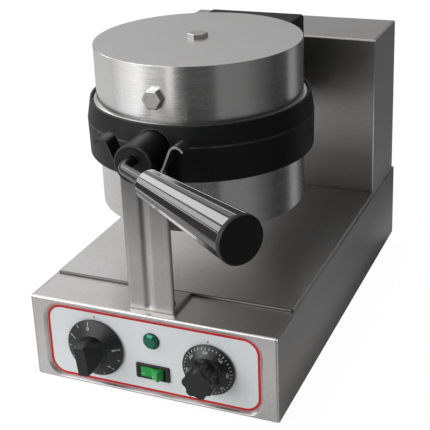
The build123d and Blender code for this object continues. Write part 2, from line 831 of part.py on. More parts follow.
def bearing_frame():
    """A bent steel frame inside the tower, which holds both bearings and the two stops."""
    w = 46.0
    low = base_top
    front = front_plate_y
    back = rear_plate_y + plate_thickness
    frame = block(-w, w, front, front + plate_thickness, low, axis_height + 24)
    frame += block(-w, w, rear_plate_y, back, low, axis_height + 24)
    frame += block(-w, w, front, back, low, low + 3)
    frame -= block(-30, 30, 352, 388, low - 1, low + 4)
    for side in (-1, 1):
        x0, x1 = sorted((side * (w - 3), side * w))
        frame += block(x0, x1, front, back, low, low + 60)
    frame = frame - rod_y(bearing_radius, front - 1, back + 1, 0, axis_height)
    for side in (-1, 1):
        frame += rod_y(4.0, front, stop_y + 12, side * 32, axis_height + 6 + 4 + 0.3)
    return frame


def stop_collar():
    """A collar on the shaft, with the arm that meets a stop pin at each end of the half turn."""
    collar = rod_y(20, stop_y, stop_y + 12, 0, axis_height)
    collar += block(-40, 0, stop_y, stop_y + 12, axis_height - 6, axis_height + 6)
    screw = rod_z(3.0, axis_height + 10, axis_height + 24, 0, stop_y + 6)
    return collar - rod_y(shaft_radius, stop_y - 1, stop_y + 13, 0, axis_height) - screw


def shaft_collar():
    """The collar that keeps the shaft in its bearings."""
    front = rear_plate_y + plate_thickness + 3.3
    collar = rod_y(19, front, front + 9, 0, axis_height)
    screw = rod_z(2.5, axis_height + 10, axis_height + 24, 0, front + 4.5)
    return collar - rod_y(shaft_radius, front - 1, front + 10, 0, axis_height) - screw


# Crank and grip

def grip_frame():
    """A frame at the crank's corner, with its Z axis along the grip."""
    turn = math.radians(grip_turn)
    along = Vector(math.cos(turn), -math.sin(turn), 0)
    return Plane(origin=(0, crank_corner, crank_height), x_dir=(0, 0, 1), z_dir=along)


def handle_rod():
    frame = grip_frame()
    tip = frame.origin + frame.z_dir * (grip_start + grip_length - 20)
    corner = frame.origin
    path = FilletPolyline((0, boss_front + 28, crank_height), tuple(corner), tuple(tip), radius=crank_bend)
    return sweep(Plane(origin=path @ 0, z_dir=path % 0) * Circle(crank_radius), path)


def handle_grip():
    """A tapered grip with broad flat flutes."""
    near, far = grip_start, grip_start + grip_length - cap_thickness
    small = Pos(0, 0, near) * RegularPolygon(grip_start_radius, grip_sides)
    large = Pos(0, 0, far) * RegularPolygon(grip_end_radius, grip_sides)
    body = loft([small, large])
    outline = [
        (0, near - 1), (grip_start_radius - 2.2, near - 1), (grip_start_radius + 0.3, near + 2.5),
        (grip_end_radius + 1, far), (0, far),
    ]
    body = body & turned_z(outline)
    body -= rod_z(crank_radius, near - 1, grip_start + grip_length - 20, 0, 0)
    body -= rod_z(8, far - 8, far + 1, 0, 0)
    return grip_frame() * body


def grip_cap():
    """The matt end cap of the grip."""
    near = grip_start + grip_length - cap_thickness
    far = grip_start + grip_length
    disc = rod_z(grip_end_radius, near, far, 0, 0)
    disc = fillet(disc.edges().filter_by(GeomType.CIRCLE).sort_by(Axis.Z)[-1], 2.4)
    return grip_frame() * (disc + rod_z(8, near - 8, near + 1, 0, 0))


# The whole machine

parts = {
    "base_cover": base_cover(),
    "left_side_panel": base_side(-1),
    "right_side_panel": base_side(1),
    "base_pan": base_pan(),
    "rear_panel": rear_panel(),
    "rear_screws": rear_screws(),
    "tower_cover": tower_cover(),
    "left_tower_side": tower_side(-1),
    "right_tower_side": tower_side(1),
    "rubber_feet": rubber_feet(),
    "foot_screws": foot_screws(),
    "control_panel": control_panel(),
    "timer_body": timer_body(),
    "timer_spindle": spindle(timer_x),
    "timer_knob": timer_knob(),
    "thermostat_body": thermostat_body(),
    "thermostat_spindle": spindle(dial_x),
    "temperature_knob": temperature_knob(),
    "lamp_body": lamp_body(),
    "lamp_lens": lamp_lens(),
    "switch_housing": switch_housing(),
    "rocker_key": rocker_key(),
    "terminal_block": terminal_block(),
    "cable_gland": cable_gland(),
    "gland_nut": gland_nut(),
    "support_post": support_post(),
    "saddle": saddle(),
    "post_screws": post_screws(),
    "drip_tray": drip_tray(),
    "bearing_frame": bearing_frame(),
    "front_bearing": front_bearing(),
    "rear_bearing": rear_bearing(),
    "hollow_shaft": hollow_shaft(),
    "shaft_screws": shaft_screws(),
    "stop_collar": stop_collar(),
    "shaft_collar": shaft_collar(),
    "hinge_block": hinge_block(),
    "block_bolts": block_bolts(),
    "hinge_pin": hinge_pin(),
    "lid_arm": lid_arm(),
    "arm_bolts": arm_bolts(),
    "lower_ring": lower_ring(),
    "thermostat_bulb": thermostat_bulb(),
    "upper_ring": upper_ring(),
    "handle_rod": handle_rod(),
    "handle_grip": handle_grip(),
    "grip_cap": grip_cap(),
}

# What lies above each plate is turned a little, as its side bolt shows.
heating_pack = {
    "heating_element": heating_element(),
    "clamp_plate": clamp_plate(),
    "insulation": insulation(),
}
turned = Rot(0, 0, pack_turn)
parts["upper_waffle_plate"] = place_upper(waffle_plate())
parts["lower_waffle_plate"] = place_lower(waffle_plate())
for name, piece in heating_pack.items():
    parts["upper_" + name] = place_upper(turned * piece)
    parts["lower_" + name] = place_lower(turned * piece)
parts["upper_drum"] = place_upper(turned * drum(upper_ring_height))
parts["lower_drum"] = place_lower(turned * drum(lower_ring_height))
parts["upper_drum_bolts"] = place_upper(turned * drum_bolts(upper_ring_height))
parts["lower_drum_bolts"] = place_lower(turned * drum_bolts(lower_ring_height))

# The origin is on the table, under the middle of the whole machine.
boxes = [piece.bounding_box() for piece in parts.values()]
low = [min(tuple(box.min)[i] for box in boxes) for i in range(3)]
high = [max(tuple(box.max)[i] for box in boxes) for i in range(3)]
shift = [-round((low[i] + high[i]) / 2, 1) for i in (0, 1)]

os.makedirs("parts", exist_ok=True)
for name, piece in parts.items():
    export_step(Pos(shift[0], shift[1], 0) * piece, f"parts/{name}.step")
print("shift", shift, "size", [round(high[i] - low[i], 2) for i in range(3)])
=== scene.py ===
import bmesh
import bpy
import math
from bpy.props import FloatProperty, FloatVectorProperty, IntProperty, PointerProperty
from mathutils import Matrix, Vector


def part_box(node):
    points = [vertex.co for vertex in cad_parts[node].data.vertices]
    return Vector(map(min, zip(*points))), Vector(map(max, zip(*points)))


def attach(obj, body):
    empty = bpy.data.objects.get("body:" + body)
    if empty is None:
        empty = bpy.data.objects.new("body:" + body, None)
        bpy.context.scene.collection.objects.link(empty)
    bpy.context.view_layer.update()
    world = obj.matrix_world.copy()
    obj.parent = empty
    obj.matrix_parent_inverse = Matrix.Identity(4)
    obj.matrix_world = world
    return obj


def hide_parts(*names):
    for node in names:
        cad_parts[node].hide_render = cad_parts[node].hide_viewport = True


bl_info = {
    "name": "Rotary waffle maker",
    "version": (1, 0, 0),
    "blender": (4, 5, 0),
    "location": "View3D > Sidebar > Waffle maker",
    "description": "Dresses the packed waffle maker in brushed steel, black castings and a white panel",
    "category": "Object",
}

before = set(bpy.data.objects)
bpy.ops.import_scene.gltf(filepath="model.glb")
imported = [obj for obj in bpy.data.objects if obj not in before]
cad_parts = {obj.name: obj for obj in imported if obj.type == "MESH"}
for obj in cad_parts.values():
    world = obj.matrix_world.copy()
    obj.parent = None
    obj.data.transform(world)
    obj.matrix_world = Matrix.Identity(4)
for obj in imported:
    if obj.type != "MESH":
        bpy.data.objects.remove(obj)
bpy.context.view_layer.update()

mm = 0.001
print_depth = 0.08 * mm
cover_low, cover_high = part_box("base_cover")
middle_x = (cover_low.x + cover_high.x) / 2
front_y = cover_low.y
drum_low, drum_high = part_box("upper_drum")
drum_x, drum_y = (drum_low.x + drum_high.x) / 2, (drum_low.y + drum_high.y) / 2


def spot(x, y, z):
    """A place given in millimetres from the middle of the front edge at table height."""
    return Vector((middle_x + x * mm, front_y + y * mm, z * mm))


# Settings

def length(name, description, default):
    return FloatProperty(name=name, description=description, default=default, unit="LENGTH", precision=5)


def power(name, description, default):
    return FloatProperty(name=name, description=description, default=default, min=0.0, unit="POWER")


def colour(name, description, default):
    return FloatVectorProperty(name=name, description=description, default=default, subtype="COLOR", size=3,
                               min=0.0, max=1.0)


class SteelSettings(bpy.types.PropertyGroup):
    tone: colour("Steel", "Colour of the brushed housing", (0.62, 0.61, 0.60))
    drum_tone: colour("Drum steel", "Colour of the two drums", (0.70, 0.695, 0.685))
    grain: length("Grain", "Width of the brushed lines", 0.0008)


class IronSettings(bpy.types.PropertyGroup):
    coating: colour("Coating", "Colour of the black castings", (0.0040, 0.0044, 0.0042))
    plate: colour("Plates", "Colour of the baked plates", (0.030, 0.028, 0.026))
    steps: IntProperty(name="Steps", description="Steps round a drum", default=192, min=32, max=512)


class HandleSettings(bpy.types.PropertyGroup):
    flats: IntProperty(name="Flats", description="Broad flats round the grip", default=9, min=6, max=14)
    resin: colour("Resin", "Colour of the grip", (0.013, 0.011, 0.010))
    flute: length("Flute", "Half the width of the fine grooves between the flats", 0.0004)


class PanelSettings(bpy.types.PropertyGroup):
    face: colour("Panel", "Colour of the panel", (0.83, 0.87, 0.875))
    border: colour("Border", "Colour of the border line and the index dots", (0.62, 0.006, 0.012))
    border_width: length("Border width", "Width of the border line", 0.0026)
    marks: colour("Marks", "Colour of the dial marks", (0.78, 0.80, 0.80))
    resin: colour("Knobs", "Colour of the knobs", (0.0065, 0.0070, 0.0072))
    lamp: colour("Lamp", "Colour of the lamp's lens", (0.0015, 0.115, 0.062))
    key: colour("Key", "Colour of the rocker key", (0.012, 0.36, 0.06))


class StageSettings(bpy.types.PropertyGroup):
    floor: colour("Floor", "Colour of the floor", (0.86, 0.86, 0.86))
    key_power: power("Key light", "Power of the large lamp on the left", 30.0)
    front_power: power("Front light", "Power of the low lamp before the panel", 21.0)
    window_power: power("Window light", "Power of the lamp in the grip's bright band", 2.6)
    sill_power: power("Sill light", "Power of the lamp in the grip's second band", 1.3)
    top_power: power("Top light", "Power of the lamp above", 2.0)


def settings(name):
    return getattr(bpy.context.scene, "waffle_" + name)


# Materials

class Value:
    """One shader output, which can be added, subtracted or multiplied."""

    def __init__(self, finish, socket):
        self.finish, self.socket = finish, socket

    def work(self, operation, a, b):
        return self.finish.node("Math", {"operation": operation}, {0: a, 1: b})

    def __add__(self, other):
        return self.work("ADD", self, other)

    def __radd__(self, other):
        return self.work("ADD", other, self)

    def __sub__(self, other):
        return self.work("SUBTRACT", self, other)

    def __rsub__(self, other):
        return self.work("SUBTRACT", other, self)

    def __mul__(self, other):
        return self.work("MULTIPLY", self, other)

    def __rmul__(self, other):
        return self.work("MULTIPLY", other, self)


class Finish:
    """A material under construction, with the nodes that most finishes share."""

    def __init__(self, name, data=None):
        self.data = data or bpy.data.materials.new(name)
        self.data.use_nodes = True
        self.tree = self.data.node_tree
        self.shader = self.tree.nodes.get("Principled BSDF")

    def node(self, kind, chosen=None, fed=None, out=0):
        """Adds a node: first its settings, then the values or links of its sockets."""
        made = self.tree.nodes.new("ShaderNode" + kind)
        for name, value in (chosen or {}).items():
            if name == "stops":
                ramp = made.color_ramp.elements
                for index, (where, tone) in enumerate(value):
                    stop = ramp[index] if index < 2 else ramp.new(where)
                    stop.position, stop.color = where, (*tone, 1.0)
            else:
                setattr(made, name, value)
        for name, value in (fed or {}).items():
            self.feed(made.inputs[name], value)
        return Value(self, made.outputs[out])

    def feed(self, socket, value):
        if isinstance(value, Value):
            self.tree.links.new(value.socket, socket)
        elif socket.type == "RGBA" and len(value) == 3:
            socket.default_value = (*value, 1.0)
        else:
            socket.default_value = value

    def place(self, centre=(0, 0, 0)):
        """Object coordinates, counted from a point of the piece."""
        here = self.node("TexCoord", out="Object")
        return self.node("Mapping", {}, {"Vector": here, "Location": tuple(-c for c in centre)})

    def axes(self, where):
        """The three numbers of a vector."""
        parted = self.node("SeparateXYZ", {}, {"Vector": where}).socket.node
        return [Value(self, parted.outputs[axis]) for axis in "XYZ"]

    def joined(self, x, y, z):
        """A vector of three numbers."""
        return self.node("CombineXYZ", {}, {"X": x, "Y": y, "Z": z})

    def angle(self, across, along):
        """The bearing of a place, in radians."""
        return self.node("Math", {"operation": "ARCTAN2"}, {0: across, 1: along})

    def stretched(self, where, scale):
        return self.node("VectorMath", {"operation": "MULTIPLY"}, {0: where, 1: scale})

    def noise(self, where, scale, detail, roughness):
        return self.node("TexNoise", {}, {"Vector": where, "Scale": scale, "Detail": detail,
                                          "Roughness": roughness})

    def ramp(self, value, *stops):
        return self.node("ValToRGB", {"stops": stops}, {"Fac": value})

    def between(self, value, low, high, to_low=0.0, to_high=1.0):
        return self.node("MapRange", {}, {"Value": value, "From Min": low, "From Max": high,
                                          "To Min": to_low, "To Max": to_high})

    def mix(self, factor, a, b):
        return self.node("Mix", {"data_type": "RGBA"}, {0: factor, 6: a, 7: b}, out=2)

    def bump(self, height, strength, distance, edge=0.0):
        """A bump, on edges that are rounded off by a small radius where one is given."""
        fed = {"Height": height, "Strength": strength, "Distance": distance}
        if edge:
            fed["Normal"] = self.node("Bevel", {"samples": 6}, {"Radius": edge})
        return self.node("Bump", {}, fed)

    def corners(self, radius):
        """How far the surface turns within a small radius, which is nothing on a flat."""
        soft = self.node("Bevel", {"samples": 6}, {"Radius": radius})
        hard = self.node("NewGeometry", out="Normal")
        return 1 - self.node("VectorMath", {"operation": "DOT_PRODUCT"}, {0: soft, 1: hard}, out=1)

    def set(self, **values):
        """Feeds sockets of the shader; spaces in their names are written as underscores."""
        for name, value in values.items():
            self.feed(self.shader.inputs[name.replace("_", " ")], value)
        return self.data


def scaled(tone, factor, lift=0.0):
    """A lighter or darker tone."""
    return tuple(min(1.0, c * factor + lift) for c in tone)


def tuned(material, **levels):
    """Sets numbers that are the same all over a finish on its shader."""
    shader = material.node_tree.nodes["Principled BSDF"]
    for name, level in levels.items():
        shader.inputs[name.replace("_", " ")].default_value = level
    return material


def grain(axis):
    """The scale of brushed lines that run along an axis of the sheet."""
    fine = 1.0 / settings("steel").grain
    return tuple(0.4 * fine if run == axis else fine for run in "XYZ")


def brushed(name, tone, scale, roughness=0.32, centre=None, edge=0.0004, contrast=1.0, relief=0.02, shade_ramps=(),
            edge_shade=0.0):
    """Brushed steel. The lines run along the axis with the smallest scale, or round a centre. Each ramp of
    painted shade darkens it from a clear to a dark place on an axis, down to the share that is left. Painted
    shade can also darken the edges of a sheet."""
    steel = Finish(name)
    # A dark tone for painted shade
    painted_shade = scaled(tone, 0.06)
    here = steel.place(centre or (0, 0, 0))
    if centre:
        x, y, z = steel.axes(here)
        here = steel.joined(steel.angle(y, x) * 0.1, 0.0, z)
    fine = steel.noise(steel.stretched(here, scale), 1.0, 2.0, 0.6)
    broad = steel.noise(steel.stretched(here, tuple(s * 0.3 for s in scale)), 1.0, 3.0, 0.6)
    cloud = steel.noise(steel.place(), 11.0, 4.0, 0.6)
    lines = fine * 0.6 + broad * 0.4
    tint = steel.mix(steel.between(lines, 0.34, 0.66), scaled(tone, 1 - 0.10 * contrast),
                     scaled(tone, 1 + 0.09 * contrast))
    warm = tuple(c * f for c, f in zip(tone, (0.90, 0.86, 0.81)))
    tint = steel.mix(steel.between(cloud, 0.40, 0.72, 0.0, 0.5 * contrast), tint, warm)
    # Each ramp paints shade that grows along an axis
    for axis, clear, dark, left in shade_ramps:
        along = steel.axes(steel.place())[axis]
        tint = steel.mix(steel.between(along, clear, dark, 0.0, 1.0 - left), tint, painted_shade)
    # Painted shade along the edges, over the highlight there
    if edge_shade:
        tint = steel.mix(steel.between(steel.corners(edge), 0.01, 0.10, 0.0, edge_shade), tint, painted_shade)
    return steel.set(
        Base_Color=tint, Metallic=1.0,
        Roughness=steel.between(lines, 0.3, 0.7, roughness - 0.04, roughness + 0.05),
        Normal=steel.bump(lines, relief, 0.0002, edge))


def coated(name, tone, roughness, grit=1800.0, wear_and_highlight=0.0, edge=0.0009):
    """A sprayed or baked dark coating, a little rough and cloudy, and pale on its edges: worn on the plates,
    and a painted highlight on the castings.
    """
    coat = Finish(name)
    here = coat.place()
    relief = coat.noise(here, grit, 2.0, 0.6)
    cloud = coat.noise(here, 22.0, 4.0, 0.6)
    tint = coat.mix(coat.between(cloud, 0.3, 0.75), tone, scaled(tone, 1.6, 0.001))
    # Pale edges, worn on the plates and a painted highlight on the castings
    if wear_and_highlight:
        patchy = coat.between(coat.noise(here, 160.0, 3.0, 0.6), 0.35, 0.6, 0.4, 1.0)
        pale_edge_mask = coat.between(coat.corners(edge), 0.008, 0.06, 0.0, wear_and_highlight) * patchy
        tint = coat.mix(pale_edge_mask, tint, (0.25, 0.25, 0.245))
    return coat.set(
        Base_Color=tint,
        Roughness=coat.between(cloud, 0.3, 0.7, roughness - 0.05, roughness + 0.06),
        Normal=coat.bump(relief, 0.12, 0.00015, edge))


def moulded(name, tone, roughness, coat_weight=0.0, grit=1500.0, edge=0.0004, cloudy=0.2):
    """Moulded resin with a fine, soft surface."""
    resin = Finish(name)
    here = resin.place()
    relief = resin.noise(here, grit, 2.0, 0.5)
    cloud = resin.noise(here, 45.0, 3.0, 0.6)
    pale = scaled(tone, 1 + cloudy, 0.003 * cloudy)
    return resin.set(
        Base_Color=resin.mix(resin.between(cloud, 0.35, 0.7), tone, pale),
        Roughness=resin.between(cloud, 0.3, 0.7, max(0.03, roughness - 0.03), roughness + 0.04),
        Normal=resin.bump(relief, 0.04, 0.0001, edge), Coat_Weight=coat_weight)


def printed(name, tone):
    """Paint or print that lies flat on a surface."""
    ink = Finish(name)
    patch = ink.noise(ink.place(), 700.0, 2.0, 0.5)
    return ink.set(Base_Color=ink.mix(ink.between(patch, 0.35, 0.7), tone, scaled(tone, 0.9)), Roughness=0.5)


# Shapes

def sharp_edges(bm, degrees):
    """The edges where two faces meet at more than an angle."""
    return [e for e in bm.edges if len(e.link_faces) == 2 and e.calc_face_angle(0.0) > math.radians(degrees)]


def rounded(bm, geom, offset, segments, **options):
    """Rounds edges off, or cuts corners back where the options say so."""
    settled = {"offset_type": "OFFSET", "affect": "EDGES", "profile": 0.5, "material": -1, **options}
    bmesh.ops.bevel(bm, geom=geom, offset=offset, segments=segments, **settled)


def drawn_out(bm, faces):
    """Extrudes faces, and returns the new vertices to be moved."""
    made = bmesh.ops.extrude_face_region(bm, geom=faces)["geom"]
    return [g for g in made if isinstance(g, bmesh.types.BMVert)]


def finished(bm, name, body, material, bevel=None, smooth=True):
    """Turns a bmesh into a piece that rides on a body. A bevel of an offset and a number of segments rounds
    its sharp edges."""
    bmesh.ops.remove_doubles(bm, verts=bm.verts, dist=1e-7)
    bmesh.ops.recalc_face_normals(bm, faces=bm.faces)
    if bevel:
        rounded(bm, sharp_edges(bm, 30), *bevel, clamp_overlap=True)
    for face in bm.faces:
        face.smooth = smooth
    for edge in bm.edges:
        edge.smooth = len(edge.link_faces) != 2 or edge.calc_face_angle(0.0) < math.radians(35)
    mesh = bpy.data.meshes.new(name)
    bm.to_mesh(mesh)
    bm.free()
    mesh.materials.append(material)
    piece = bpy.data.objects.new(name, mesh)
    bpy.context.scene.collection.objects.link(piece)
    if smooth:
        weights = piece.modifiers.new("even shading", "WEIGHTED_NORMAL")
        weights.weight = 90
        weights.keep_sharp = True
    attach(piece, body)
    return piece


def lathe(outline, steps):
    """A bmesh turned round Z from an outline of (radius, height) points in millimetres."""
    bm = bmesh.new()
    points = [bm.verts.new((r * mm, 0, h * mm)) for r, h in outline]
    edges = [bm.edges.new(pair) for pair in zip(points, points[1:] + points[:1])]
    bmesh.ops.spin(bm, geom=points + edges, cent=(0, 0, 0), axis=(0, 0, 1), angle=math.tau, steps=steps,
                   use_merge=True)
    bmesh.ops.remove_doubles(bm, verts=bm.verts, dist=1e-6)
    loose = [e for e in bm.edges if not e.link_faces]
    bmesh.ops.delete(bm, geom=loose, context="EDGES")
    return bm


def moved(bm, matrix):
    """Moves a whole bmesh, and returns it."""
    bmesh.ops.transform(bm, matrix=matrix, verts=bm.verts)
    return bm


def quarter_turn(rows):
    """The rotation, as a matrix of 3 or 4 rows, that stands a flat shape up to face the front."""
    return Matrix.Rotation(math.radians(90), rows, "X")


def axes_at(origin, x, y, z):
    """The matrix that lays local X, Y and Z along three directions at a place."""
    return Matrix.Translation(origin) @ Matrix((x, y, z)).transposed().to_4x4()


def bar(bm, matrix, size):
    """Adds a small flat bar of the given size."""
    bmesh.ops.create_cube(bm, size=1.0, matrix=matrix @ Matrix.Diagonal((*size, 1.0)))


def lettering(bm, text, height, matrix):
    """Adds upright text, centred on the matrix, as a thin mesh."""
    curve = bpy.data.curves.new("text", "FONT")
    curve.body = text
    curve.size = height
    curve.extrude = print_depth
    curve.align_x, curve.align_y = "CENTER", "CENTER"
    curve.resolution_u = 3
    holder = bpy.data.objects.new("text", curve)
    bpy.context.scene.collection.objects.link(holder)
    bpy.context.view_layer.update()
    mesh = bpy.data.meshes.new_from_object(holder)
    mesh.transform(matrix)
    bm.from_mesh(mesh)
    bpy.data.objects.remove(holder)
    bpy.data.curves.remove(curve)
    bpy.data.meshes.remove(mesh)


def dressed(material, *names):
    """Gives carried-over CAD nodes their finish."""
    for name in names:
        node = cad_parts[name]
        node.data.materials.clear()
        node.data.materials.append(material)


class Maker(bpy.types.Operator):
    """Shared by every operator of this file."""

    bl_options = {"REGISTER", "UNDO"}


class WAFFLE_OT_stage(Maker):
    """Makes the floor, the room, the lights and the camera."""

    bl_idname = "waffle.stage"
    bl_label = "Stage"

    floor_half, floor_middle = (1.05, 2.0), (-0.91, 1.7)
    glow, glow_share = 1.08, 0.9
    # The room's brightness by bearing, where 0 is in front, 90 on the right and 180 behind: below the
    # horizon, level with it and above. Each begins with its two ends, which both lie behind
    below = [(-180, 0.05), (180, 0.03), (-165, 0.50), (-118, 0.62), (-90, 1.30), (-50, 1.35), (-42, 1.25),
             (-34, 0.44), (-14, 0.26), (-11, 1.20), (-6, 1.20), (-3, 0.07), (39, 0.08), (43, 0.28),
             (75, 0.26), (92, 0.14), (112, 0.035), (134, 0.04), (139, 0.44), (152, 0.38), (158, 0.14),
             (168, 0.08)]
    level = [(-180, 0.12), (180, 0.12), (-75, 0.15), (-60, 0.80), (-10, 0.80), (10, 0.20)]
    above = [(-180, 0.40), (180, 0.30), (-162, 0.76), (-145, 0.94), (-125, 1.15), (-90, 1.00), (-50, 0.80),
             (-30, 0.20), (30, 0.20), (120, 0.12)]
    focal_length, sensor_width, shift = 87.67, 36.0, (0.0223, -0.1557)
    camera_place, camera_turn = (395.3, -745.4, 574.3), (69.396, 2.347, 23.047)

    def execute(self, context):
        chosen = settings("stage")
        self.floor(context, chosen)
        self.room(context)
        self.lamps(context, chosen)
        self.camera(context)
        return {"FINISHED"}

    def floor(self, context, chosen):
        """A white sheet that keeps the machine's shadow. It ends at the machine's front and right side, and
        the steel mirrors the room past it."""
        floor = Finish("pale_floor")
        cloud = floor.noise(floor.place(), 3.0, 2.0, 0.5)
        shade = scaled(chosen.floor, 0.95)
        tint = floor.mix(floor.between(cloud, 0.3, 0.7, 0.0, 0.04), chosen.floor, shade)
        floor.set(Base_Color=tint, Roughness=0.9)
        sheet = Value(floor, floor.shader.outputs[0])
        seen = floor.node("LightPath", out="Is Camera Ray")
        glow = floor.node("Emission", {}, {"Color": (1, 1, 1), "Strength": self.glow})
        both = floor.node("MixShader", {}, {0: seen * self.glow_share, 1: sheet, 2: glow})
        floor.feed(floor.tree.nodes["Material Output"].inputs["Surface"], both)
        bm = bmesh.new()
        bmesh.ops.create_grid(bm, x_segments=1, y_segments=1, size=1)
        bmesh.ops.scale(bm, vec=(*self.floor_half, 1), verts=bm.verts)
        bmesh.ops.translate(bm, vec=(*self.floor_middle, 0), verts=bm.verts)
        mesh = bpy.data.meshes.new("floor")
        bm.to_mesh(mesh)
        bm.free()
        mesh.materials.append(floor.data)
        ground = bpy.data.objects.new("floor", mesh)
        context.scene.collection.objects.link(ground)

    def room(self, context):
        """A room that the steel mirrors, bright on the left and darker elsewhere, with upright bands. The
        camera sees it as white."""
        world = bpy.data.worlds.new("studio")
        context.scene.world = world
        air = Finish("studio", world)
        x, y, z = air.axes(air.node("TexCoord", out="Generated"))
        turn = air.angle(x, 0.0 - y) * (1 / math.tau) + 0.5
        below, level, above = (
            air.ramp(turn, *((0.5 + angle / 360, (tone, tone, tone * 1.02)) for angle, tone in band))
            for band in (self.below, self.level, self.above))
        seen = air.node("LightPath", out="Is Camera Ray")
        tone = air.mix(air.between(z, -0.20, -0.12), below, level)
        tone = air.mix(air.between(z, 0.20, 0.34), tone, above)
        back = air.tree.nodes["Background"]
        air.feed(back.inputs["Color"], air.mix(seen, tone, (1, 1, 1)))
        air.feed(back.inputs["Strength"], seen * 0.15 + 0.85)

    def lamps(self, context, chosen):
        for name, watts, size, where, target in (
            ("key", chosen.key_power, (2.6, 2.4), (-1.9, -1.8, 1.7), (0, 0, 0.1)),
            ("front", chosen.front_power, (2.8, 1.3), (-1.2, -2.6, 0.95), (0, 0, 0.1)),
            ("window", chosen.window_power, (0.50, 0.56), (-1.25, 0.54, 1.15), (0, 0, 0.2)),
            ("sill", chosen.sill_power, (0.55, 0.35), (-1.54, 0.08, 0.72), (0, 0, 0.2)),
            ("top", chosen.top_power, (1.6, 1.4), (-0.4, 0.4, 1.9), (0, 0, 0.15)),
        ):
            lamp = bpy.data.lights.new(name, "AREA")
            lamp.energy = watts
            lamp.shape = "RECTANGLE"
            lamp.size, lamp.size_y = size
            holder = bpy.data.objects.new(name, lamp)
            holder.location = where
            aim = Vector(target) - Vector(where)
            holder.rotation_euler = aim.to_track_quat("-Z", "Y").to_euler()
            context.scene.collection.objects.link(holder)

    def camera(self, context):
        lens = bpy.data.cameras.new("camera")
        lens.lens = self.focal_length
        lens.sensor_width = self.sensor_width
        lens.shift_x, lens.shift_y = self.shift
        lens.clip_end = 50
        camera = bpy.data.objects.new("camera", lens)
        camera.location = spot(*self.camera_place)
        camera.rotation_euler = [math.radians(angle) for angle in self.camera_turn]
        context.scene.collection.objects.link(camera)
        context.scene.camera = camera


